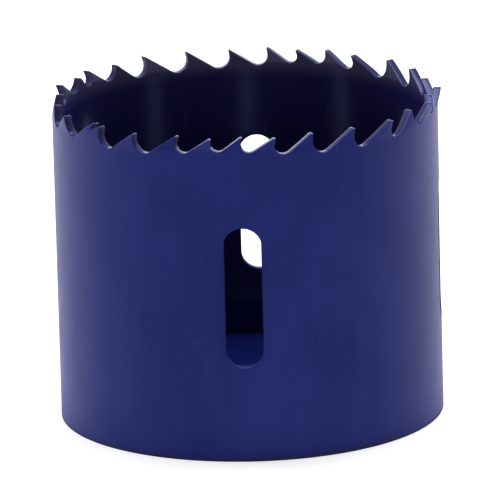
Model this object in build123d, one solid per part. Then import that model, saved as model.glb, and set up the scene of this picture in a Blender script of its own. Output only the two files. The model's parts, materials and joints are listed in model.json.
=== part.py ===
from build123d import *
import math
import os
from itertools import cycle

# Bi-metal hole saw: a toothed strip rolled into a cup wall and butt welded, with a
# base plate welded into its lower end. The base plate has the arbor thread and two
# drive-pin holes. Lengths are in millimetres, +Z points from the base plate to the
# teeth, and the origin is on the arbor axis, at the outer face of the base plate.

# The cup wall
CUP_DIAMETER = 50.0          # over the plain wall, under the set teeth
WALL_THICKNESS = 1.05
HEIGHT = 42.5                # from the outer face of the base plate to the tooth tips

# The teeth. The pitches repeat round the strip, from the seam on.
TOOTH_PITCHES = (5.6, 5.95, 5.75, 5.1, 4.2, 3.9, 4.6)
SHORTEST_PITCH = 1.5         # the least that the strip's last tooth keeps before the seam
FIRST_TOOTH = 1.05           # from the seam to the first tip
TOOTH_SET = 0.5              # how far a set tip leans out of the wall
SET_ORDER = (-1, 1, 0, -1, 1, -1, 1)    # inward, straight or outward: it repeats too
SET_BEND_RISE = 0.15         # the bend of a set tooth lies this far above its gullets
TIP_FLAT = 0.25
RAKE_ANGLE = 11.0            # undercut of the cutting face, in degrees
GULLET_DEPTH_PER_PITCH = 0.43
GULLET_RADIUS_PER_PITCH = 0.25

# The slots that clear chips and let a stuck plug be pushed out
SLOT_WIDTH = 4.85
SLOT_LENGTH = 18.4
SLOT_BOTTOM = 12.4           # from the outer face of the base plate
SLOT_SPACING = 38.1          # along the strip, centre to centre
FIRST_SLOT = 18.9            # from the seam to the first slot's centre

# The base plate
BASE_THICKNESS = 3.5
BASE_WELD_CHAMFER = 0.3      # round the lower rim, where the weld runs
ARBOR_THREAD_MINOR = 14.35   # 5/8-18 UNF, internal minor diameter
ARBOR_THREAD_CHAMFER = 0.4
PIN_HOLE_DIAMETER = 6.7
PIN_HOLE_SPACING = 25.4      # centre to centre, across the arbor axis

SEAM_ANGLE = -140.0          # direction of the strip's butt weld, in degrees from +X
CUT_MARGIN = 1.0             # how far a cutting shape runs past the metal

OUTER_RADIUS = CUP_DIAMETER / 2
INNER_RADIUS = OUTER_RADIUS - WALL_THICKNESS
NEUTRAL_RADIUS = OUTER_RADIUS - WALL_THICKNESS / 2
STRIP_LENGTH = 2 * math.pi * NEUTRAL_RADIUS


def strip_angle(position):
    """Direction of a place on the strip, in degrees from +X; the strip runs clockwise."""
    return SEAM_ANGLE - math.degrees(position / NEUTRAL_RADIUS)


def cutting_plane(angle):
    """Plane outside the wall that faces the axis: its x runs along the strip, its y up."""
    outward = Vector(1, 0, 0).rotate(Axis.Z, angle)
    along_strip = Vector(0, -1, 0).rotate(Axis.Z, angle)
    reach = OUTER_RADIUS + TOOTH_SET + CUT_MARGIN
    return Plane(origin=outward * reach, x_dir=along_strip, z_dir=outward * -1)


def cut_through_wall(profile, angle):
    """Solid that a profile sweeps straight through the wall at the given direction."""
    depth = WALL_THICKNESS + 2 * (TOOTH_SET + CUT_MARGIN)
    return extrude(cutting_plane(angle) * profile, amount=depth)


def tooth_tips():
    """Places of the tooth tips along the strip, as far as a last short pitch allows."""
    tips = [FIRST_TOOTH]
    last_tip = STRIP_LENGTH + FIRST_TOOTH - SHORTEST_PITCH
    for pitch in cycle(TOOTH_PITCHES):
        if tips[-1] + pitch > last_tip:
            return tips
        tips.append(tips[-1] + pitch)


class Gullet:
    """The gap between the back of one tooth and the cutting face of the next."""

    def __init__(self, tip, next_tip):
        span = (next_tip - tip) / NEUTRAL_RADIUS
        pitch = next_tip - tip
        self.angle = strip_angle((tip + next_tip) / 2)
        self.half_chord = NEUTRAL_RADIUS * math.sin(span / 2)
        self.radius = GULLET_RADIUS_PER_PITCH * pitch
        self.floor = HEIGHT - GULLET_DEPTH_PER_PITCH * pitch
        rake = math.radians(RAKE_ANGLE)
        centre_height = self.floor + self.radius
        undercut = (HEIGHT - centre_height) * math.tan(rake)
        centre_x = self.half_chord + undercut - self.radius / math.cos(rake)
        self.centre = Vector(centre_x, centre_height)

    def floor_angle(self):
        """Direction of the gullet's deepest line."""
        return self.angle - math.degrees(math.asin(self.centre.X / NEUTRAL_RADIUS))

    def on_round(self, angle):
        """Point of the gullet's round, at an angle in degrees from its centre."""
        return self.centre + Vector(self.radius, 0).rotate(Axis.Z, angle)

    def back_slope(self):
        """Angle of the tooth's back in degrees: it leaves the tip and meets the round."""
        back_end = Vector(TIP_FLAT - self.half_chord, HEIGHT)
        to_centre = self.centre - back_end
        direction = math.degrees(math.atan2(to_centre.Y, to_centre.X))
        return direction - math.degrees(math.asin(self.radius / to_centre.length))

    def cutter(self):
        """Solid that cuts the gap through the wall."""
        back_end = Vector(TIP_FLAT - self.half_chord, HEIGHT)
        face_top = Vector(self.half_chord, HEIGHT)
        round_start = self.back_slope() - 90
        round_middle = (round_start + RAKE_ANGLE) / 2
        above = Vector(0, CUT_MARGIN)
        face_foot = self.on_round(RAKE_ANGLE)
        back_foot = self.on_round(round_start)
        outline = Polyline(face_foot, face_top, face_top + above, back_end + above, back_end, back_foot)
        outline += ThreePointArc(back_foot, self.on_round(round_middle), face_foot)
        return cut_through_wall(make_face(outline), self.angle)


def turned_sector(section, start_angle, arc):
    """Solid that a section of the wall, given as radius and height, sweeps through an arc."""
    face = make_face(Plane.XZ * Polyline(*section, close=True))
    return Rot(0, 0, start_angle) * revolve(face, Axis.Z, revolution_arc=arc)


def tooth_blank(before, after, lean, foot):
    """The wall under and in one tooth, leaning by its set above the bend line."""
    bend = max(before.floor, after.floor) + SET_BEND_RISE
    shift = lean * TOOTH_SET
    section = [
        (INNER_RADIUS, foot),
        (OUTER_RADIUS, foot),
        (OUTER_RADIUS, bend),
        (OUTER_RADIUS + shift, HEIGHT),
        (INNER_RADIUS + shift, HEIGHT),
        (INNER_RADIUS, bend),
    ]
    arc = (before.floor_angle() - after.floor_angle()) % 360
    return turned_sector(section, after.floor_angle(), arc)


def slot_cutters():
    """One solid for each slot; the seam takes up what the spacing leaves over."""
    count = round(STRIP_LENGTH / SLOT_SPACING)
    profile = Pos(0, SLOT_BOTTOM + SLOT_LENGTH / 2) * SlotOverall(SLOT_LENGTH, SLOT_WIDTH, rotation=90)
    places = [FIRST_SLOT + SLOT_SPACING * index for index in range(count)]
    return [cut_through_wall(profile, strip_angle(place)) for place in places]


def toothed_wall():
    """The rolled strip: a plain ring, a crown of set teeth on it, gullets and slots."""
    tips = tooth_tips()
    next_tips = tips[1:] + [tips[0] + STRIP_LENGTH]
    gullets = [Gullet(tip, next_tip) for tip, next_tip in zip(tips, next_tips)]
    crown_foot = min(gullet.floor for gullet in gullets) - CUT_MARGIN
    ring = extrude(Circle(OUTER_RADIUS) - Circle(INNER_RADIUS), amount=crown_foot)
    blanks = [
        tooth_blank(before, after, lean, crown_foot)
        for before, after, lean in zip(gullets[-1:] + gullets[:-1], gullets, cycle(SET_ORDER))
    ]
    wall = ring + blanks
    return wall - ([gullet.cutter() for gullet in gullets] + slot_cutters())


def base_plate():
    """The plate that closes the lower end, with the arbor thread's hole and the pin holes."""
    plate = extrude(Circle(INNER_RADIUS), amount=BASE_THICKNESS)
    plate = chamfer(plate.faces().sort_by(Axis.Z)[0].edges(), BASE_WELD_CHAMFER)
    arbor_hole = extrude(Circle(ARBOR_THREAD_MINOR / 2), amount=BASE_THICKNESS)
    plate -= arbor_hole
    circles = plate.edges().filter_by(GeomType.CIRCLE)
    rims = circles.filter_by(lambda rim: math.isclose(rim.radius, ARBOR_THREAD_MINOR / 2))
    plate = chamfer(rims, ARBOR_THREAD_CHAMFER)
    pin_hole = extrude(Circle(PIN_HOLE_DIAMETER / 2), amount=BASE_THICKNESS)
    return plate - [Pos(side * PIN_HOLE_SPACING / 2, 0) * pin_hole for side in (-1, 1)]


os.makedirs("parts", exist_ok=True)
export_step(toothed_wall(), "parts/toothed_wall.step")
export_step(base_plate(), "parts/base_plate.step")
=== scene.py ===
"""Looks of the hole saw: the rolled toothed wall, the base plate, their enamel and a small studio."""

import json
import logging
import math
from collections.abc import Iterable
from dataclasses import dataclass, field
from enum import Enum
from itertools import cycle
from typing import Any

import bmesh
import bpy
from bmesh.types import BMEdge, BMesh, BMFace, BMVert
from bpy.types import ID, Material, Node, NodeSocket, NodeTree, Object
from mathutils import Matrix, Vector
from mathutils.kdtree import KDTree


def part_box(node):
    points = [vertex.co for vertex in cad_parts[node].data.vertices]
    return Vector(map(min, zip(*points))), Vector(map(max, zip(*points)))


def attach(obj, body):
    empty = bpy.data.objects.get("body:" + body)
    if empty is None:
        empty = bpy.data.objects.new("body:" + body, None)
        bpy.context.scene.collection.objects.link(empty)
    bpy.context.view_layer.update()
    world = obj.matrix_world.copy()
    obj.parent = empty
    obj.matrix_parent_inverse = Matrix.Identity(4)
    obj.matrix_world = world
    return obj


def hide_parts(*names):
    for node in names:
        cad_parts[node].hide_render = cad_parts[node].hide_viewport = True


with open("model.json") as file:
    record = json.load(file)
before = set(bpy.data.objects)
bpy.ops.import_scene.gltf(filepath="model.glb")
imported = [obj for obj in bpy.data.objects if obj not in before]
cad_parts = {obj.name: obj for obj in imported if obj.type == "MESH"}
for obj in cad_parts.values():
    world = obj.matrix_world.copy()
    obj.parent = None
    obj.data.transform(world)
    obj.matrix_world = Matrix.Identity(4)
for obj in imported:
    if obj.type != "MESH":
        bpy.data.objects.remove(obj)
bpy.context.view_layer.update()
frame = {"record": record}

LOG = logging.getLogger("hole_saw")
MM = 0.001
TOUCH = 1e-4
"""Points this near each other, in millimetres, are one point."""
BODY = "root"
Geometry = list[BMVert | BMEdge | BMFace]
"""Parts of a mesh, as the operators take them."""
EDGE = "edge"
"""The mesh attribute that is 1 on an edge and fades to 0 on the open faces."""
INSIDE = "inside"
"""The mesh attribute that is 1 on the face that looks into the cup and 0 on the outer face."""

ORIGIN = Vector((0, 0, 0))
AXIS = Vector((0, 0, 1))
"""The saw's axis, and the normal of a sheet that still lies flat."""
ALONG = Vector((1, 0, 0))
"""The flat strip's length."""
UPWARD = Vector((0, 1, 0))
"""The flat strip's height, from the base to the teeth."""


class Lean(Enum):
    """Which way a tooth is set, as a share of the set."""

    OUTWARD = 1.0
    INWARD = -1.0
    STRAIGHT = 0.0


# ---------------------------------------------------------------- mesh tools


def whole(bm: BMesh) -> Geometry:
    """Everything in a mesh."""
    return bm.verts[:] + bm.edges[:] + bm.faces[:]


def with_borders(faces: Iterable[BMFace]) -> Geometry:
    """Gathers faces with their edges and corners.

    Args:
        faces: The faces.

    Returns:
        All of them in one list.
    """
    parts = set(faces)
    for face in list(parts):
        parts.update(face.edges)
        parts.update(face.verts)
    return list(parts)


def cut_across(bm: BMesh, geometry: Geometry, direction: Vector, place: float) -> None:
    """Cuts faces along a plane.

    Args:
        bm: The mesh to cut.
        geometry: The part of the mesh that is cut.
        direction: The plane's unit normal.
        place: Where the plane lies along the normal.
    """
    bmesh.ops.bisect_plane(bm, geom=geometry, dist=TOUCH, plane_co=direction * place, plane_no=direction)


def trim(bm: BMesh, place: Vector, outward: Vector) -> None:
    """Cuts off what lies beyond a plane.

    Args:
        bm: The mesh to trim.
        place: A point on the plane.
        outward: The plane's normal, towards what is cut off.
    """
    bmesh.ops.bisect_plane(
        bm, geom=whole(bm), dist=TOUCH, plane_co=place, plane_no=outward, clear_outer=True
    )


def fill(bm: BMesh, edges: list[BMEdge]) -> None:
    """Fills flat loops, and leaves the holes between them open."""
    bmesh.ops.triangle_fill(bm, edges=edges, use_beauty=True, normal=AXIS)


def circle(bm: BMesh, radius: float, segments: int, place: Matrix, filled: bool = False) -> list[BMVert]:
    """Adds a circle.

    Args:
        bm: The mesh that it is added to.
        radius: Its radius.
        segments: How many edges it has.
        place: Where its centre goes, and how it is turned.
        filled: Whether it is one face or only its rim.

    Returns:
        Its corners.
    """
    made = bmesh.ops.create_circle(bm, cap_ends=filled, segments=segments, radius=radius, matrix=place)
    return made["verts"]


def add_shape(bm: BMesh, shape: BMesh) -> None:
    """Adds a finished shape to a mesh.

    Args:
        bm: The mesh that it is added to.
        shape: The shape. It is freed.
    """
    made = bpy.data.meshes.new("shape")
    shape.to_mesh(made)
    shape.free()
    bm.from_mesh(made)
    bpy.data.meshes.remove(made)


def placed(name: str, data: ID) -> Object:
    """Puts a mesh, a lamp or a camera into the scene.

    Args:
        name: The new object's name.
        data: What it shows.

    Returns:
        The object.
    """
    made = bpy.data.objects.new(name, data)
    bpy.context.scene.collection.objects.link(made)
    return made


def finished_object(bm: BMesh, name: str, material: Material) -> Object:
    """Makes a smooth-shaded piece that rides on the saw's body.

    Args:
        bm: The finished shape, in the row's frame and in millimetres. It is freed.
        name: The piece's name.
        material: Its finish.

    Returns:
        The new object.
    """
    bmesh.ops.recalc_face_normals(bm, faces=bm.faces[:])
    bmesh.ops.scale(bm, vec=Vector((MM, MM, MM)), verts=bm.verts[:])
    mesh = bpy.data.meshes.new(name)
    bm.to_mesh(mesh)
    bm.free()
    mesh.shade_smooth()
    mesh.materials.append(material)
    piece = placed(name, mesh)
    even_shading = piece.modifiers.new("even_shading", "WEIGHTED_NORMAL")
    even_shading.keep_sharp = True
    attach(piece, BODY)
    return piece


class Pen:
    """Draws a flat outline, one edge or arc after another, and fills it."""

    def __init__(self, bm: BMesh, start: Vector) -> None:
        """Puts the pen down.

        Args:
            bm: The mesh that it draws in.
            start: The outline's first corner.
        """
        self.bm = bm
        self.first = bm.verts.new(start)
        self.last = self.first

    def line_to(self, corner: Vector) -> None:
        """Draws a straight edge.

        Args:
            corner: Where it ends.
        """
        made = bmesh.ops.extrude_vert_indiv(self.bm, verts=[self.last])
        self.last = made["verts"][0]
        self.last.co = corner

    def arc(self, centre: Vector, angle: float, steps: int) -> None:
        """Draws an arc from the last corner.

        Args:
            centre: The arc's centre.
            angle: How far it turns, in radians, counter-clockwise where positive.
            steps: How many edges it has.
        """
        made = bmesh.ops.spin(self.bm, geom=[self.last], cent=centre, axis=AXIS, angle=angle, steps=steps)
        self.last = next(part for part in made["geom_last"] if isinstance(part, BMVert))

    def close(self) -> None:
        """Joins the ends and fills the outline."""
        self.bm.edges.new((self.last, self.first))
        bmesh.ops.contextual_create(self.bm, geom=self.bm.edges[:])


@dataclass(frozen=True)
class RoundedSheet:
    """Sheet metal whose painted edges are rounded, on both sides of the plane z = 0."""

    thickness: float
    edge_radius: float
    segments: int = 3

    def thicken(self, bm: BMesh) -> None:
        """Grows flat faces into the upper half of the sheet.

        Args:
            bm: The faces, at z = 0.
        """
        self._step(bm, 0.0, self.thickness / 2 - self.edge_radius)
        quarter = math.pi / 2
        for index in range(self.segments):
            start = quarter * index / self.segments
            end = quarter * (index + 1) / self.segments
            inward = self.edge_radius * (math.cos(start) - math.cos(end))
            self._step(bm, inward, self.edge_radius * (math.sin(end) - math.sin(start)))

    @staticmethod
    def complete(bm: BMesh) -> None:
        """Adds the lower half, a mirror image of the upper one."""
        bmesh.ops.mirror(bm, geom=whole(bm), matrix=Matrix.Identity(4), merge_dist=TOUCH, axis="Z")

    def _step(self, bm: BMesh, inward: float, upward: float) -> None:
        """Adds one strip of the edge.

        Args:
            bm: The sheet as far as it has grown.
            inward: How far the flat faces shrink.
            upward: How far they rise.
        """
        top = max(vert.co.z for vert in bm.verts)
        flats = [face for face in bm.faces if min(vert.co.z for vert in face.verts) > top - TOUCH]
        bmesh.ops.inset_region(
            bm, faces=flats, use_boundary=True, use_even_offset=True, thickness=inward, depth=upward
        )


def mark_sheet(bm: BMesh, rims: list[Vector], reach: float, outer: float, inner: float) -> None:
    """Writes the edge and inside attributes of a sheet.

    Args:
        bm: The sheet, still flat.
        rims: Points of its edges, on the plane z = 0.
        reach: How far from an edge the edge mark fades out.
        outer: Height of the face that looks away from the cup.
        inner: Height of the face that looks into the cup.
    """
    edge = bm.verts.layers.float.new(EDGE)
    inside = bm.verts.layers.float.new(INSIDE)
    tree = KDTree(len(rims))
    for index, point in enumerate(rims):
        tree.insert(point, index)
    tree.balance()
    for vert in bm.verts:
        distance = tree.find(Vector((vert.co.x, vert.co.y, 0)))[2]
        vert[edge] = max(0.0, 1 - distance / reach)
        vert[inside] = (vert.co.z - outer) / (inner - outer)


# ---------------------------------------------------------------- the toothed wall


@dataclass(frozen=True)
class ToothForm:
    """The shape that the mill gives each tooth."""

    tip_flat: float = 0.25
    rake: float = math.radians(11)
    gullet_depth_per_pitch: float = 0.43
    gullet_radius_per_pitch: float = 0.25
    arc_steps: int = 14


@dataclass(frozen=True)
class Gullet:
    """The gap between the back of one tooth and the cutting face of the next, on the flat strip."""

    tip: float
    next_tip: float
    height: float
    form: ToothForm

    @property
    def radius(self) -> float:
        """Radius of the gullet's round."""
        return self.form.gullet_radius_per_pitch * (self.next_tip - self.tip)

    @property
    def floor(self) -> float:
        """Height of the gullet's deepest point."""
        return self.height - self.form.gullet_depth_per_pitch * (self.next_tip - self.tip)

    @property
    def centre(self) -> Vector:
        """Works out the centre of the gullet's round.

        Returns:
            The centre.
        """
        rise = self.floor + self.radius
        undercut = (self.height - rise) * math.tan(self.form.rake)
        return Vector((self.next_tip + undercut - self.radius / math.cos(self.form.rake), rise, 0))

    def draw(self, pen: Pen) -> None:
        """Draws the back of the tooth, the round and the next tooth's cutting face.

        Args:
            pen: The pen, at the tooth's tip. It ends at the next tooth's tip.
        """
        back_end = Vector((self.tip + self.form.tip_flat, self.height, 0))
        to_centre = self.centre - back_end
        slope = math.atan2(to_centre.y, to_centre.x) - math.asin(self.radius / to_centre.length)
        round_start = slope - math.pi / 2
        pen.line_to(back_end)
        pen.line_to(self.centre + Vector((math.cos(round_start), math.sin(round_start), 0)) * self.radius)
        pen.arc(self.centre, self.form.rake - round_start, self.form.arc_steps)
        pen.line_to(Vector((self.next_tip, self.height, 0)))


@dataclass(frozen=True)
class Slots:
    """The slots that clear chips, punched along the strip."""

    width: float = 4.85
    length: float = 18.4
    bottom: float = 12.4
    spacing: float = 38.1
    first: float = 18.9
    margin: float = 1.4
    rim: float = 0.5
    segments: int = 56

    def places(self, strip_length: float) -> list[float]:
        """Centres of the slots along the strip."""
        return [self.first + self.spacing * index for index in range(round(strip_length / self.spacing))]

    def punch(self, bm: BMesh, strip_length: float) -> None:
        """Cuts the slots into the flat strip.

        Args:
            bm: The strip, as faces at z = 0.
            strip_length: Its length round the cup.
        """
        low = self.bottom - self.margin
        high = self.bottom + self.length + self.margin
        cut_across(bm, whole(bm), UPWARD, low)
        cut_across(bm, whole(bm), UPWARD, high)
        for centre in self.places(strip_length):
            self._clear_cell(bm, centre, low, high)
            self._fit_rim(bm, centre)

    def _clear_cell(self, bm: BMesh, centre: float, low: float, high: float) -> None:
        """Takes out a rectangle of the strip round one slot.

        Args:
            bm: The strip.
            centre: The slot's centre along the strip.
            low: The rectangle's lower border.
            high: Its upper border.
        """
        reach = self.width / 2 + self.margin
        for side in (-reach, reach):
            band = [face for face in bm.faces if low < face.calc_center_median().y < high]
            cut_across(bm, with_borders(band), ALONG, centre + side)
        cell = [
            face for face in bm.faces
            if low < face.calc_center_median().y < high and abs(face.calc_center_median().x - centre) < reach
        ]
        bmesh.ops.delete(bm, geom=cell, context="FACES_ONLY")

    def _fit_rim(self, bm: BMesh, centre: float) -> None:
        """Fills the rectangle round the slot's own outline.

        Args:
            bm: The strip.
            centre: The slot's centre along the strip.
        """
        outer = self.width / 2 + self.rim
        turn = Matrix.Rotation(math.pi / self.segments, 4, "Z")
        lower = Matrix.Translation((centre, self.bottom + self.width / 2, 0))
        corners = circle(bm, outer, self.segments, lower @ turn, filled=True)
        upper = [vert for vert in corners if vert.co.y > self.bottom + self.width / 2]
        bmesh.ops.translate(bm, vec=UPWARD * (self.length - self.width), verts=upper)
        plug = corners[0].link_faces[0]
        bmesh.ops.inset_region(bm, faces=[plug], use_boundary=True, use_even_offset=True, thickness=self.rim)
        bmesh.ops.delete(bm, geom=[plug], context="FACES_ONLY")
        gap = [edge for edge in bm.edges if edge.is_boundary and self._borders_gap(edge, centre)]
        fill(bm, gap)

    def _borders_gap(self, edge: BMEdge, centre: float) -> bool:
        """Finds the borders of the gap between a slot's rim and the rectangle round it.

        Args:
            edge: An open edge of the strip.
            centre: The slot's centre along the strip.

        Returns:
            Whether the edge is one of them.
        """
        middle = (edge.verts[0].co + edge.verts[1].co) / 2
        margin = self.margin + TOUCH
        low = self.bottom - margin
        high = self.bottom + self.length + margin
        in_rectangle = abs(middle.x - centre) < self.width / 2 + margin and low < middle.y < high
        foot = self.bottom + self.width / 2
        nearest = min(max(middle.y, foot), foot + self.length - self.width)
        from_slot_line = math.hypot(middle.x - centre, middle.y - nearest)
        return in_rectangle and from_slot_line > (self.width + self.rim) / 2


@dataclass
class ToothedWall:
    """The cup's wall: a strip milled with teeth, set, punched, rolled up and butt welded."""

    height: float
    diameter: float = 50.0
    sheet: RoundedSheet = field(default_factory=lambda: RoundedSheet(thickness=1.05, edge_radius=0.1))
    pitches: tuple[float, ...] = (5.6, 5.95, 5.75, 5.1, 4.2, 3.9, 4.6)
    shortest_pitch: float = 1.5
    first_tooth: float = 1.05
    tooth_set: float = 0.5
    set_order: tuple[Lean, ...] = (
        Lean.INWARD, Lean.OUTWARD, Lean.STRAIGHT, Lean.INWARD, Lean.OUTWARD, Lean.INWARD, Lean.OUTWARD
    )
    bend_rise: float = 0.15
    form: ToothForm = field(default_factory=ToothForm)
    slots: Slots = field(default_factory=Slots)
    seam_angle: float = math.radians(-140)
    overlap: int = 3
    column_width: float = 0.34
    crown_row: float = 0.3
    crown_margin_rows: int = 2
    wall_row: float = 2.6
    shortest_edge: float = 0.004
    edge_reach: float = 0.6

    @property
    def neutral_radius(self) -> float:
        """Radius of the rolled strip's mid-plane."""
        return (self.diameter - self.sheet.thickness) / 2

    @property
    def strip_length(self) -> float:
        """Length of the strip round the cup."""
        return math.tau * self.neutral_radius

    def build(self, material: Material) -> Object:
        """Makes the wall and puts it in the CAD wall's place.

        Args:
            material: Its finish.

        Returns:
            The wall.
        """
        bm = bmesh.new()
        gullets = self._gullets()
        self._cut_outline(bm, gullets)
        self.slots.punch(bm, self.strip_length)
        self.sheet.thicken(bm)
        self._slice(bm, gullets)
        rims = [vert.co.copy() for vert in bm.verts if vert.is_boundary]
        self._cut_to_length(bm)
        self.sheet.complete(bm)
        mark_sheet(bm, rims, self.edge_reach, self.sheet.thickness / 2, -self.sheet.thickness / 2)
        self._roll(bm, gullets)
        bmesh.ops.remove_doubles(bm, verts=bm.verts[:], dist=self.shortest_edge)
        wall = finished_object(bm, "rolled_toothed_wall", material)
        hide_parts("toothed_wall")
        return wall

    def _tips(self) -> list[float]:
        """Sets the teeth out along the strip, as far as a last short pitch allows.

        Returns:
            The places of their tips.
        """
        tips = [self.first_tooth]
        last_tip = self.strip_length + self.first_tooth - self.shortest_pitch
        for pitch in cycle(self.pitches):
            if tips[-1] + pitch > last_tip:
                return tips
            tips.append(tips[-1] + pitch)

    def _gullets(self) -> list[Gullet]:
        """Sets the gullets out along the strip.

        Returns:
            The gullets of the strip and of a short stretch past each of its ends.
        """
        tips = self._tips()
        before = [tip - self.strip_length for tip in tips[-self.overlap:]]
        after = [tip + self.strip_length for tip in tips[:self.overlap + 1]]
        run = before + tips + after
        return [Gullet(tip, next_tip, self.height, self.form) for tip, next_tip in zip(run, run[1:])]

    def _cut_outline(self, bm: BMesh, gullets: list[Gullet]) -> None:
        """Draws the strip's outline, with teeth, and fills it.

        Args:
            bm: An empty mesh.
            gullets: The gullets in order.
        """
        pen = Pen(bm, Vector((gullets[0].tip, 0, 0)))
        pen.line_to(Vector((gullets[0].tip, self.height, 0)))
        for gullet in gullets:
            gullet.draw(pen)
        end = gullets[-1].next_tip + self.edge_reach
        pen.line_to(Vector((end, self.height, 0)))
        pen.line_to(Vector((end, 0, 0)))
        pen.close()

    def _slice(self, bm: BMesh, gullets: list[Gullet]) -> None:
        """Divides the flat strip so that it rolls up and leans smoothly.

        Args:
            bm: The strip.
            gullets: The gullets in order.
        """
        for gullet in gullets:
            pitch = gullet.next_tip - gullet.tip
            count = round(pitch / self.column_width)
            for index in range(count):
                cut_across(bm, whole(bm), ALONG, gullet.tip + pitch * (index + 0.5) / count)
        crown_foot = min(gullet.floor for gullet in gullets) - self.crown_margin_rows * self.crown_row
        crown_rows = math.floor((self.height - crown_foot) / self.crown_row)
        rows = [self.edge_reach, *(crown_foot + self.crown_row * index for index in range(crown_rows))]
        wall_rows = round(crown_foot / self.wall_row)
        rows += [crown_foot * index / wall_rows for index in range(1, wall_rows)]
        for row in rows:
            cut_across(bm, whole(bm), UPWARD, row)

    def _cut_to_length(self, bm: BMesh) -> None:
        """Cuts off the stretches past the strip's ends."""
        trim(bm, ORIGIN, -ALONG)
        trim(bm, ALONG * self.strip_length, ALONG)

    def _shift(self, place: float, height: float, gullets: list[Gullet]) -> float:
        """How far the set moves a point of the strip out of the wall.

        Args:
            place: The point's place along the strip.
            height: Its height.
            gullets: The gullets in order along the strip, with the overlap before the first tooth.

        Returns:
            The distance, outward where positive.
        """
        after = next(index for index, gullet in enumerate(gullets) if gullet.centre.x > place)
        bend = max(gullets[after - 1].floor, gullets[after].floor) + self.bend_rise
        if height <= bend:
            return 0.0
        tooth = (after - self.overlap) % (len(gullets) - 2 * self.overlap)
        lean = self.set_order[tooth % len(self.set_order)]
        return lean.value * self.tooth_set * (height - bend) / (self.height - bend)

    def _roll(self, bm: BMesh, gullets: list[Gullet]) -> None:
        """Sets the teeth and rolls the strip up, clockwise from above.

        Args:
            bm: The strip.
            gullets: The gullets in order, with the overlap before the first tooth.
        """
        for vert in bm.verts:
            place, height, depth = vert.co
            radius = self.neutral_radius + depth + self._shift(place, height, gullets)
            angle = self.seam_angle - place / self.neutral_radius
            vert.co = Vector((radius * math.cos(angle), radius * math.sin(angle), height))


# ---------------------------------------------------------------- the base plate


@dataclass(frozen=True)
class ArborThread:
    """The female thread that the arbor screws into."""

    minor_radius: float
    pitch: float = 25.4 / 18
    depth_per_pitch: float = 0.5413
    crest_per_pitch: float = 1 / 4
    root_per_pitch: float = 1 / 8
    chamfer: float = 0.4
    turns_spare: int = 2
    steps: int = 96
    flank_cuts: int = 5

    @property
    def major_radius(self) -> float:
        """Radius at the bottom of the thread's groove."""
        return self.minor_radius + self.depth_per_pitch * self.pitch

    def cut(self, bm: BMesh, thickness: float) -> None:
        """Adds the threaded surface of a hole through a plate.

        Args:
            bm: The mesh that it is added to.
            thickness: The plate's thickness; its lower face is at z = 0.
        """
        thread = bmesh.new()
        self._draw_section(thread, thickness)
        step = Vector((0, 0, self.pitch / self.steps))
        bmesh.ops.spin(
            thread, geom=whole(thread), cent=ORIGIN, axis=AXIS, dvec=step, angle=math.tau, steps=self.steps
        )
        bmesh.ops.remove_doubles(thread, verts=thread.verts[:], dist=TOUCH)
        trim(thread, ORIGIN, -AXIS)
        trim(thread, AXIS * thickness, AXIS)
        self._countersink(thread, thickness)
        add_shape(bm, thread)

    def _draw_section(self, thread: BMesh, thickness: float) -> None:
        """Draws the thread's section along the hole: a crest, a flank, a root and a flank per pitch.

        Args:
            thread: An empty mesh.
            thickness: The plate's thickness. The section runs past both of its faces.
        """
        crest = self.pitch * self.crest_per_pitch
        root = self.pitch * self.root_per_pitch
        flank = (self.pitch - crest - root) / 2
        turns = math.ceil(thickness / self.pitch) + 2 * self.turns_spare
        height = -self.turns_spare * self.pitch
        pen = Pen(thread, Vector((self.minor_radius, 0, height)))
        for _ in range(turns):
            for rise, radius in (
                (crest, self.minor_radius),
                (flank, self.major_radius),
                (root, self.major_radius),
                (flank, self.minor_radius),
            ):
                height += rise
                pen.line_to(Vector((radius, 0, height)))
        bmesh.ops.subdivide_edges(thread, edges=thread.edges[:], cuts=self.flank_cuts)

    def _countersink(self, thread: BMesh, thickness: float) -> None:
        """Opens both mouths of the hole to the chamfer.

        Args:
            thread: The threaded surface, cut to the plate's thickness.
            thickness: The plate's thickness.
        """
        for vert in thread.verts:
            depth = min(vert.co.z, thickness - vert.co.z)
            mouth = self.minor_radius + self.chamfer - depth
            radius = vert.co.xy.length
            if radius < mouth:
                vert.co.xy *= mouth / radius


@dataclass(frozen=True)
class WeldBead:
    """The weld that fills the groove between the base plate and the wall's lower rim."""

    radius: float
    half_width: float = 0.42
    root: float = 0.42
    crown: float = 0.03
    ripples: int = 190
    ripple_depth: float = 0.022
    ripple_bow: float = 0.45
    buried_height: float = 0.105
    steps: int = 1140
    section_steps: int = 8

    def lay(self, bm: BMesh) -> None:
        """Adds the bead as a closed ring.

        Args:
            bm: The mesh that it is added to.
        """
        bead = bmesh.new()
        place = Matrix.Translation((self.radius, 0, self.root)) @ Matrix.Rotation(math.pi / 2, 4, "X")
        circle(bead, self.half_width, 2 * self.section_steps, place)
        for vert in bead.verts:
            rise = (vert.co.z - self.root) / self.half_width
            vert.co.z = self.root + rise * (self.root - self.crown if rise < 0 else self.buried_height)
        bmesh.ops.spin(
            bead, geom=whole(bead), cent=ORIGIN, axis=AXIS, angle=math.tau, steps=self.steps, use_merge=True
        )
        bmesh.ops.remove_doubles(bead, verts=bead.verts[:], dist=TOUCH)
        self._ripple(bead)
        add_shape(bm, bead)

    def _ripple(self, bead: BMesh) -> None:
        """Presses the overlapping crescents of the weld pool into the bead's face.

        Args:
            bead: The ring, still smooth.
        """
        for vert in bead.verts:
            if vert.co.z > self.root:
                continue
            angle = math.atan2(vert.co.y, vert.co.x)
            across = (vert.co.xy.length - self.radius) / self.half_width
            phase = (angle / math.tau * self.ripples + self.ripple_bow * across * across) % 1
            vert.co.z += self.ripple_depth * (1 - phase) * (1 - across * across)


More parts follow.
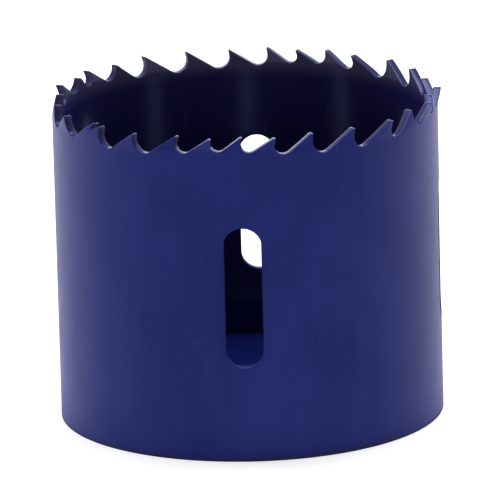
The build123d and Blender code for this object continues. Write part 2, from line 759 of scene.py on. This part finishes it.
@dataclass
class BasePlate:
    """The plate that closes the cup's lower end and carries the arbor."""

    radius: float
    thickness: float
    pin_radius: float
    pin_offset: float
    thread: ArborThread
    bead: WeldBead
    edge_radius: float = 0.22
    edge_reach: float = 0.66
    boss_radius: float = 9.2
    rim_segments: int = 256
    hole_segments: int = 72

    def build(self, material: Material) -> Object:
        """Makes the plate with its thread, pin holes and weld, in the CAD plate's place.

        Args:
            material: Its finish.

        Returns:
            The plate.
        """
        bm = bmesh.new()
        circle(bm, self.radius, self.rim_segments, Matrix.Identity(4))
        circle(bm, self.boss_radius, self.thread.steps, Matrix.Identity(4))
        for side in (-1, 1):
            place = Matrix.Translation(ALONG * side * self.pin_offset)
            circle(bm, self.pin_radius, self.hole_segments, place)
        fill(bm, bm.edges[:])
        circle(bm, self.boss_radius, self.thread.steps, Matrix.Identity(4), filled=True)
        bmesh.ops.remove_doubles(bm, verts=bm.verts[:], dist=TOUCH)
        bmesh.ops.recalc_face_normals(bm, faces=bm.faces[:])
        rims = [vert.co.copy() for vert in bm.verts if vert.is_boundary]
        sheet = RoundedSheet(self.thickness, self.edge_radius)
        sheet.thicken(bm)
        sheet.complete(bm)
        bmesh.ops.translate(bm, vec=AXIS * self.thickness / 2, verts=bm.verts[:])
        rims += self._open_arbor_hole(bm)
        self.bead.lay(bm)
        mark_sheet(bm, rims, self.edge_reach, 0.0, self.thickness)
        plate = finished_object(bm, "welded_base_plate", material)
        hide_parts("base_plate")
        return plate

    def _open_arbor_hole(self, bm: BMesh) -> list[Vector]:
        """Takes out the middle of both faces and joins them to the thread's mouths.

        Args:
            bm: The plate, with a face round the axis on each side.

        Returns:
            Points of the mouths, on the plane z = 0.
        """
        middles = [face for face in bm.faces if face.calc_center_median().xy.length < TOUCH]
        bmesh.ops.delete(bm, geom=middles, context="FACES_ONLY")
        self.thread.cut(bm, self.thickness)
        mouths = []
        for level in (0, self.thickness):
            rims = [
                edge for edge in bm.edges
                if edge.is_boundary and all(abs(vert.co.z - level) < TOUCH for vert in edge.verts)
            ]
            for edge in rims:
                edge.smooth = False
                mouths += [Vector((vert.co.x, vert.co.y, 0)) for vert in edge.verts]
            fill(bm, rims)
        return [point for point in mouths if point.length < self.boss_radius - self.thread.chamfer]


# ---------------------------------------------------------------- finishes


@dataclass(frozen=True)
class Grain:
    """A cloudy pattern: how many features it has in a metre, and how many finer layers."""

    scale: float
    layers: float


@dataclass(frozen=True)
class Fade:
    """A mask that goes smoothly from 0 at one value to 1 at another."""

    start: float
    end: float


class Wiring:
    """Adds and joins the nodes of one shader tree."""

    MIX_INPUTS = (0, 6, 7)
    """The Mix node's share and its two colours, among the inputs that it has for each kind of value."""
    MIX_OUTPUT = 2

    def __init__(self, tree: NodeTree) -> None:
        """Starts on a tree."""
        self.tree = tree

    def node(self, kind: str, settings: dict[str, Any] | None = None, **inputs: Any) -> Node:
        """Adds a node.

        Args:
            kind: Blender's name for the node's type.
            settings: Its options.
            **inputs: What each input, named with _ for a space, holds or is joined to.

        Returns:
            The node.
        """
        node = self.tree.nodes.new(kind)
        for name, value in (settings or {}).items():
            setattr(node, name, value)
        for name, value in inputs.items():
            self.feed(node.inputs[name.replace("_", " ")], value)
        return node

    def feed(self, target: NodeSocket, value: Any) -> None:
        """Gives an input its value.

        Args:
            target: The input.
            value: A socket that is joined to it, or a constant.
        """
        if isinstance(value, NodeSocket):
            self.tree.links.new(value, target)
        else:
            target.default_value = value

    def math(self, operation: str, *values: Any) -> NodeSocket:
        """Adds a Math node.

        Args:
            operation: Blender's name for what it does.
            *values: Up to three numbers or sockets.

        Returns:
            Its output.
        """
        node = self.node("ShaderNodeMath", {"operation": operation})
        for target, value in zip(node.inputs, values):
            self.feed(target, value)
        return node.outputs[0]

    def product(self, first: Any, second: Any) -> NodeSocket:
        """Multiplies two values and returns the product."""
        return self.math("MULTIPLY", first, second)

    def height(self, vector: NodeSocket) -> NodeSocket:
        """Takes the share of a vector along the saw's axis and returns it."""
        return self.node("ShaderNodeSeparateXYZ", Vector=vector).outputs["Z"]

    def noise(self, coordinates: NodeSocket, grain: Grain) -> NodeSocket:
        """Adds a cloudy pattern and returns its value."""
        node = self.node("ShaderNodeTexNoise", Vector=coordinates, Scale=grain.scale, Detail=grain.layers)
        return node.outputs["Fac"]

    def stretch(self, coordinates: Any, scale: tuple[float, float, float]) -> NodeSocket:
        """Scales coordinates along each axis and returns them."""
        return self.node("ShaderNodeMapping", Vector=coordinates, Scale=scale).outputs[0]

    def mask(self, value: Any, fade: Fade) -> NodeSocket:
        """Turns a value into a mask.

        Args:
            value: The value.
            fade: Where the mask starts and where it is full.

        Returns:
            The mask.
        """
        node = self.node(
            "ShaderNodeMapRange", {"interpolation_type": "SMOOTHSTEP"},
            Value=value, From_Min=fade.start, From_Max=fade.end,
        )
        return node.outputs["Result"]

    def mix(self, share: Any, first: Any, second: Any) -> NodeSocket:
        """Blends two colours.

        Args:
            share: How much of the second one the blend has.
            first: The colour where the share is 0.
            second: The colour where the share is 1.

        Returns:
            The blend.
        """
        node = self.node("ShaderNodeMix", {"data_type": "RGBA"})
        for index, value in zip(self.MIX_INPUTS, (share, first, second)):
            self.feed(node.inputs[index], value)
        return node.outputs[self.MIX_OUTPUT]


class Socket(Enum):
    """The kinds of socket that an effect has."""

    NUMBER = "NodeSocketFloat"
    COLOUR = "NodeSocketColor"
    VECTOR = "NodeSocketVector"


class Effect:
    """A shader node group that several finishes use."""

    Labels = dict[Socket, tuple[str, ...]]
    """Names of sockets, by their kind."""

    def __init__(self, name: str, inputs: Labels, outputs: Labels) -> None:
        """Makes an empty group with its sockets.

        Args:
            name: The group's name.
            inputs: What goes into it.
            outputs: What comes out of it.
        """
        self.group = bpy.data.node_groups.new(name, "ShaderNodeTree")
        for way, sockets in (("INPUT", inputs), ("OUTPUT", outputs)):
            for kind, labels in sockets.items():
                for label in labels:
                    self.group.interface.new_socket(name=label, in_out=way, socket_type=kind.value)
        self.wiring = Wiring(self.group)
        self.given = self.wiring.node("NodeGroupInput").outputs
        self.result = self.wiring.node("NodeGroupOutput").inputs

    def place(self, wiring: Wiring, **inputs: Any) -> Node:
        """Adds the group to a material."""
        return wiring.node("ShaderNodeGroup", {"node_tree": self.group}, **inputs)


@dataclass(frozen=True)
class FilmPattern:
    """How a dipped enamel film varies: cloudy, thinner on edges and drawn down in faint runs. Its colour also
    stands in for light: painted shade on inner faces and on cut faces that don't face up, a painted contact
    shadow at the foot, painted floor light low on the wall, and painted light on the teeth's inner faces near
    the tips.

    Fades that follow the height are in metres, from the base plate's outer face.
    """

    clouds: Grain = Grain(95.0, 3.0)
    runs: Grain = Grain(420.0, 2.0)
    run_stretch: tuple[float, float, float] = (1.0, 1.0, 0.12)
    cloud_share: float = 0.65
    thinned: Fade = Fade(0.36, 0.66)
    edge_falloff: float = 3.0
    edge_thinning: float = 0.4
    # Painted light from the floor: the film is lighter in the wall's lowest 16 mm.
    painted_floor_light: Fade = Fade(0.016, 0.0)
    painted_floor_light_share: float = 0.5
    # Painted shade: inner faces and cut faces that don't face up take the shaded colour in place of the blue
    # film.
    facing_up: Fade = Fade(0.35, 0.75)
    inside: Fade = Fade(0.02, 0.12)
    # Painted contact shadow: the lowest fraction of a millimetre of each piece takes the dark foot colour.
    foot: Fade = Fade(0.0007, 0.0001)
    # Thinner paint on the tips, and painted light reflected over the rim: the teeth's inner faces turn paler
    # near the tips.
    tooth_height: Fade = Fade(0.0385, 0.0415)
    tooth_inner_side: Fade = Fade(0.05, 0.95)
    nicks: Grain = Grain(900.0, 4.0)
    nick_weight: float = 0.6
    edge_weight: float = 0.62
    rubbed: Fade = Fade(0.9, 1.02)

    def effect(self) -> Effect:
        """Makes the colour effect.

        Returns:
            The group. Its Wear output marks where an edge is rubbed bare of colour.
        """
        effect = Effect(
            "enamel_film",
            {Socket.VECTOR: ("Coordinates", "Normal"), Socket.NUMBER: ("Edge", "Inside", "Cloud", "Wear"),
             Socket.COLOUR: ("Deep", "Thin", "Rubbed", "Shaded", "Bared", "Foot")},
            {Socket.COLOUR: ("Color",), Socket.NUMBER: ("Wear",)},
        )
        wiring = effect.wiring
        given = effect.given
        place = given["Coordinates"]
        clouds = wiring.product(wiring.noise(place, self.clouds), self.cloud_share)
        runs = wiring.noise(wiring.stretch(place, self.run_stretch), self.runs)
        blotches = wiring.math("MULTIPLY_ADD", runs, 1 - self.cloud_share, clouds)
        thinning = wiring.product(wiring.mask(blotches, self.thinned), given["Cloud"])
        at_edge = wiring.product(wiring.math("POWER", given["Edge"], self.edge_falloff), self.edge_thinning)
        height = wiring.height(place)
        # Painted floor light low on the wall, added to the real thinning of the film on edges.
        painted_floor_light = wiring.mask(height, self.painted_floor_light)
        thin_edges_and_painted_floor_light = wiring.math("MULTIPLY_ADD", painted_floor_light, self.painted_floor_light_share, at_edge)
        share = wiring.math("MINIMUM", wiring.math("ADD", thinning, thin_edges_and_painted_floor_light), 1.0)
        film = wiring.mix(share, given["Deep"], given["Thin"])
        # Painted shade: inner faces, and cut faces that don't face up, turn to the dark shaded colour.
        not_upward = wiring.math("SUBTRACT", 1.0, wiring.mask(wiring.height(given["Normal"]), self.facing_up))
        painted_shade = wiring.product(wiring.mask(given["Inside"], self.inside), not_upward)
        film = wiring.mix(painted_shade, film, given["Shaded"])
        # Painted contact shadow: the film turns to the dark foot colour at the very bottom.
        film = wiring.mix(wiring.mask(height, self.foot), film, given["Foot"])
        # The teeth's inner faces near the tips take a paler grey: partly thinner paint, partly painted light
        # reflected over the rim.
        inner_side = wiring.mask(given["Inside"], self.tooth_inner_side)
        bare_tips_and_painted_light = wiring.product(wiring.mask(height, self.tooth_height), inner_side)
        film = wiring.mix(bare_tips_and_painted_light, film, given["Bared"])
        nicks = wiring.product(wiring.noise(place, self.nicks), self.nick_weight)
        exposed = wiring.math("MULTIPLY_ADD", given["Edge"], self.edge_weight, nicks)
        wear = wiring.product(wiring.mask(exposed, self.rubbed), given["Wear"])
        wiring.feed(effect.result["Color"], wiring.mix(wear, film, given["Rubbed"]))
        wiring.feed(effect.result["Wear"], wear)
        return effect


@dataclass(frozen=True)
class SkinPattern:
    """The surface of sprayed enamel: orange peel, fine nibs of dust and short upright handling marks."""

    peel: Grain = Grain(620.0, 1.5)
    waves: Grain = Grain(170.0, 1.0)
    nibs_per_metre: float = 330.0
    nib: Fade = Fade(0.11, 0.0)
    dust: Grain = Grain(60.0, 1.0)
    dusty: Fade = Fade(0.6, 0.66)
    mark_stretch: tuple[float, float, float] = (1.0, 1.0, 0.2)
    marks: Grain = Grain(3600.0, 1.0)
    mark: Fade = Fade(0.66, 0.72)
    handling: Grain = Grain(210.0, 2.0)
    handled: Fade = Fade(0.5, 0.6)
    mark_depth: float = 1.2e-6

    def effect(self) -> Effect:
        """Makes the surface effect.

        Returns:
            The group. Its Height is in metres, and its Scuff output marks the handling marks.
        """
        effect = Effect(
            "enamel_skin",
            {Socket.VECTOR: ("Coordinates",), Socket.NUMBER: ("Peel", "Nibs", "Scuffs")},
            {Socket.NUMBER: ("Height", "Scuff")},
        )
        wiring = effect.wiring
        given = effect.given
        place = given["Coordinates"]
        peel = wiring.product(wiring.noise(place, self.peel), given["Peel"])
        waves = wiring.product(wiring.noise(place, self.waves), given["Peel"])
        cells = wiring.node("ShaderNodeTexVoronoi", Vector=place, Scale=self.nibs_per_metre)
        nibs = wiring.product(wiring.mask(cells.outputs["Distance"], self.nib), given["Nibs"])
        dusty = wiring.mask(wiring.noise(place, self.dust), self.dusty)
        marks = wiring.mask(wiring.noise(wiring.stretch(place, self.mark_stretch), self.marks), self.mark)
        handled = wiring.mask(wiring.noise(place, self.handling), self.handled)
        scuff = wiring.product(wiring.product(marks, handled), given["Scuffs"])
        raised = wiring.math("ADD", peel, wiring.math("MULTIPLY_ADD", nibs, dusty, waves))
        sunk = wiring.product(scuff, self.mark_depth)
        wiring.feed(effect.result["Height"], wiring.math("SUBTRACT", raised, sunk))
        wiring.feed(effect.result["Scuff"], scuff)
        return effect


@dataclass(frozen=True)
class Enamel:
    """Blue enamel over steel. Its edges below the teeth are punched, and coarser than the milled ones."""

    name: str
    deep: tuple[float, float, float]
    thin: tuple[float, float, float]
    rubbed: tuple[float, float, float] = (0.17, 0.17, 0.23)
    # Painted shade: the colour of inner faces and of cut faces that don't face up.
    shaded: tuple[float, float, float] = (0.0135, 0.0115, 0.07)
    # Thinner paint on the tooth tips, and painted light reflected over the rim onto their inner faces.
    bare_tips_and_painted_light: tuple[float, float, float] = (0.070, 0.061, 0.117)
    # Painted contact shadow along the wall's lower rim.
    foot: tuple[float, float, float] = (0.021, 0.023, 0.052)
    marked: tuple[float, float, float] = (0.05, 0.055, 0.24)
    mark_paleness: float = 0.8
    roughness: float = 0.32
    inside_roughness: float = 0.2
    gloss: Grain = Grain(260.0, 3.0)
    gloss_spread: float = 0.12
    punched: Fade = Fade(0.034, 0.032)
    punched_roughness: float = 0.3
    mark_roughness: float = 0.18
    rubbed_metal: float = 0.6
    specular: float = 0.45
    tint: tuple[float, float, float] = (0.38, 0.42, 1.0)
    sheen: float = 0.15
    sheen_roughness: float = 0.47
    sheen_tint: tuple[float, float, float] = (0.1, 0.1, 1.0)
    cloud: float = 0.7
    wear: float = 0.13
    peel: float = 2.2e-6
    nibs: float = 9.0e-6
    scuffs: float = 0.5

    def material(self, film: Effect, skin: Effect) -> Material:
        """Makes the finish.

        Args:
            film: The colour effect.
            skin: The surface effect.

        Returns:
            The material.
        """
        material = bpy.data.materials.new(self.name)
        material.use_nodes = True
        wiring = Wiring(material.node_tree)
        shader = material.node_tree.nodes["Principled BSDF"]
        coordinates = wiring.node("ShaderNodeTexCoord").outputs
        place = coordinates["Object"]
        edge = wiring.node("ShaderNodeAttribute", {"attribute_name": EDGE}).outputs["Fac"]
        inside = wiring.node("ShaderNodeAttribute", {"attribute_name": INSIDE}).outputs["Fac"]
        colour = film.place(
            wiring, Coordinates=place, Normal=coordinates["Normal"], Edge=edge, Inside=inside,
            Deep=(*self.deep, 1), Thin=(*self.thin, 1), Rubbed=(*self.rubbed, 1), Shaded=(*self.shaded, 1),
            Bared=(*self.bare_tips_and_painted_light, 1), Foot=(*self.foot, 1), Cloud=self.cloud, Wear=self.wear,
        )
        surface = skin.place(wiring, Coordinates=place, Peel=self.peel, Nibs=self.nibs, Scuffs=self.scuffs)
        marks = wiring.product(surface.outputs["Scuff"], self.mark_paleness)
        glossiest = self.roughness - self.gloss_spread / 2
        settled = wiring.math("MULTIPLY_ADD", inside, self.inside_roughness - self.roughness, glossiest)
        clouded = wiring.math("MULTIPLY_ADD", wiring.noise(place, self.gloss), self.gloss_spread, settled)
        punched = wiring.product(edge, wiring.mask(wiring.height(place), self.punched))
        coarser = wiring.math("MULTIPLY_ADD", punched, self.punched_roughness, clouded)
        roughness = wiring.math("MULTIPLY_ADD", surface.outputs["Scuff"], self.mark_roughness, coarser)
        painted = wiring.mix(marks, colour.outputs["Color"], (*self.marked, 1))
        bump = wiring.node("ShaderNodeBump", Strength=1.0, Distance=1.0, Height=surface.outputs["Height"])
        for name, value in (
            ("Base Color", painted),
            ("Roughness", roughness),
            ("Metallic", wiring.product(colour.outputs["Wear"], self.rubbed_metal)),
            ("Normal", bump.outputs["Normal"]),
            ("Specular IOR Level", self.specular),
            ("Specular Tint", (*self.tint, 1)),
            ("Sheen Weight", self.sheen),
            ("Sheen Roughness", self.sheen_roughness),
            ("Sheen Tint", (*self.sheen_tint, 1)),
        ):
            wiring.feed(shader.inputs[name], value)
        return material


# ---------------------------------------------------------------- the studio


@dataclass(frozen=True)
class StudioCamera:
    """A long lens, slightly above the rim and not quite level."""

    distance: float = 1.0008
    elevation: float = math.radians(14.966)
    roll: float = math.radians(-1.469)
    target: Vector = field(default_factory=lambda: Vector((0.00019, 0, 0.02135)))
    focal_pixels: float = 7683.8
    frame_pixels: float = 500.0
    sensor: float = 36.0
    clip_ratio: float = 100.0

    def build(self) -> None:
        """Makes the camera and looks through it."""
        data = bpy.data.cameras.new("camera")
        data.sensor_width = self.sensor
        data.lens = self.focal_pixels / self.frame_pixels * self.sensor
        data.clip_start = self.distance / self.clip_ratio
        data.clip_end = self.distance * self.clip_ratio
        camera = placed("camera", data)
        forward = Vector((0, math.cos(self.elevation), -math.sin(self.elevation)))
        level = Vector((1, 0, 0))
        above = level.cross(forward)
        rightward = level * math.cos(self.roll) + above * math.sin(self.roll)
        upward = rightward.cross(forward)
        axes = Matrix((rightward, upward, -forward)).transposed().to_4x4()
        camera.matrix_world = Matrix.Translation(self.target - forward * self.distance) @ axes
        bpy.context.scene.camera = camera


@dataclass(frozen=True)
class Softbox:
    """A rectangular lamp that faces the saw and isn't seen itself."""

    name: str
    azimuth: float
    elevation: float
    width: float
    height: float
    radiance: float
    distance: float = 0.9
    mirrored: bool = True
    aim: Vector = field(default_factory=lambda: Vector((0, 0, 0.02)))

    def build(self) -> None:
        """Hangs the lamp. Azimuth 0 is in front of the saw and 90 degrees is on its right."""
        data = bpy.data.lights.new(self.name, "AREA")
        data.shape = "RECTANGLE"
        data.size = self.width
        data.size_y = self.height
        data.energy = self.radiance * math.pi * self.width * self.height
        lamp = placed(self.name, data)
        azimuth = math.radians(self.azimuth)
        elevation = math.radians(self.elevation)
        away = Vector((
            math.sin(azimuth) * math.cos(elevation),
            -math.cos(azimuth) * math.cos(elevation),
            math.sin(elevation),
        ))
        lamp.location = self.aim + away * self.distance
        lamp.rotation_mode = "QUATERNION"
        lamp.rotation_quaternion = away.to_track_quat("Z", "Y")
        lamp.visible_camera = False
        lamp.visible_glossy = self.mirrored


@dataclass(frozen=True)
class Surroundings:
    """The white room: how it looks to the camera, in reflections and as light."""

    seen: float = 1.0
    reflected: float = 0.4
    ambient: float = 0.22

    def build(self) -> None:
        """Makes the world."""
        world = bpy.data.worlds.new("white_room")
        bpy.context.scene.world = world
        world.use_nodes = True
        wiring = Wiring(world.node_tree)
        path = wiring.node("ShaderNodeLightPath").outputs
        seen = wiring.math("MAXIMUM", path["Is Camera Ray"], path["Is Transmission Ray"])
        direct = wiring.math("MULTIPLY_ADD", seen, self.seen - self.ambient, self.ambient)
        mirrored = wiring.math("MULTIPLY_ADD", path["Is Glossy Ray"], self.reflected - self.ambient, direct)
        background = world.node_tree.nodes["Background"].inputs
        background["Color"].default_value = (1, 1, 1, 1)
        wiring.feed(background["Strength"], mirrored)


@dataclass(frozen=True)
class Floor:
    """The pale table top."""

    radius: float = 3.0
    segments: int = 96
    paleness: float = 0.8
    lift: float = 0.6
    mirrored_lift: float = 0.06

    def build(self) -> None:
        """Lays the floor, lifted to white for the camera where no shadow falls, hardly in reflections."""
        bm = bmesh.new()
        circle(bm, self.radius, self.segments, Matrix.Identity(4), filled=True)
        mesh = bpy.data.meshes.new("floor")
        bm.to_mesh(mesh)
        bm.free()
        material = bpy.data.materials.new("pale_floor")
        material.use_nodes = True
        wiring = Wiring(material.node_tree)
        material.node_tree.nodes.remove(material.node_tree.nodes["Principled BSDF"])
        matt = wiring.node("ShaderNodeBsdfDiffuse", Color=(self.paleness, self.paleness, self.paleness, 1))
        path = wiring.node("ShaderNodeLightPath").outputs
        mirrored = wiring.product(path["Is Glossy Ray"], self.mirrored_lift)
        strength = wiring.math("MULTIPLY_ADD", path["Is Camera Ray"], self.lift, mirrored)
        glow = wiring.node("ShaderNodeEmission", Strength=strength)
        both = wiring.node("ShaderNodeAddShader")
        wiring.feed(both.inputs[0], matt.outputs[0])
        wiring.feed(both.inputs[1], glow.outputs[0])
        wiring.feed(material.node_tree.nodes["Material Output"].inputs["Surface"], both.outputs[0])
        mesh.materials.append(material)
        placed("floor", mesh)


@dataclass(frozen=True)
class Studio:
    """Camera, floor, room and lamps."""

    camera: StudioCamera = field(default_factory=StudioCamera)
    floor: Floor = field(default_factory=Floor)
    surroundings: Surroundings = field(default_factory=Surroundings)
    softboxes: tuple[Softbox, ...] = (
        Softbox("overhead", azimuth=160, elevation=82, width=0.42, height=0.42, radiance=7.6),
        Softbox("behind", azimuth=180, elevation=13, width=1.5, height=0.45, radiance=1.4),
        Softbox("front", azimuth=0, elevation=6, width=1.3, height=0.3, radiance=2.0, mirrored=False),
        Softbox("left", azimuth=-127, elevation=12, width=0.9, height=0.45, radiance=4.7, mirrored=False),
        Softbox("right", azimuth=133, elevation=12, width=0.8, height=0.45, radiance=3.5, mirrored=False),
    )

    def build(self) -> None:
        """Sets the studio up."""
        bpy.context.scene.view_settings.view_transform = "Standard"
        self.camera.build()
        self.floor.build()
        self.surroundings.build()
        for softbox in self.softboxes:
            softbox.build()


# ---------------------------------------------------------------- the saw


WALL_ENAMEL = Enamel("wall_enamel", deep=(0.008, 0.014, 0.137), thin=(0.0165, 0.0255, 0.188))
BASE_ENAMEL = Enamel(
    "base_enamel", deep=(0.004, 0.009, 0.12), thin=(0.008, 0.015, 0.16), shaded=(0.004, 0.009, 0.12),
    # foot: painted shade on the plate's underside.
    foot=(0.006, 0.0125, 0.09), roughness=0.38, wear=0.16,
)


def mount(name: str) -> dict[str, Any]:
    """One of the record's mounts."""
    return next(entry for entry in frame["record"]["mounts"] if entry["name"] == name)


def main() -> None:
    """Builds the studio and the saw, and reports each piece."""
    logging.basicConfig(level=logging.INFO, format="%(name)s: %(message)s")
    Studio().build()
    film = FilmPattern().effect()
    skin = SkinPattern().effect()
    wall = ToothedWall(height=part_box("toothed_wall")[1].z / MM)
    plate_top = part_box("base_plate")[1] / MM
    pin = mount("right_pin_hole")
    plate = BasePlate(
        radius=plate_top.x,
        thickness=plate_top.z,
        pin_radius=pin["dims"]["r_mm"],
        pin_offset=pin["pos_m"][0] / MM,
        thread=ArborThread(minor_radius=mount("arbor_thread")["dims"]["r_mm"]),
        bead=WeldBead(radius=plate_top.x),
    )
    for assembly, enamel in ((wall, WALL_ENAMEL), (plate, BASE_ENAMEL)):
        piece = assembly.build(enamel.material(film, skin))
        LOG.info("%s: %d faces", piece.name, len(piece.data.polygons))


if __name__ == "__main__":
    main()
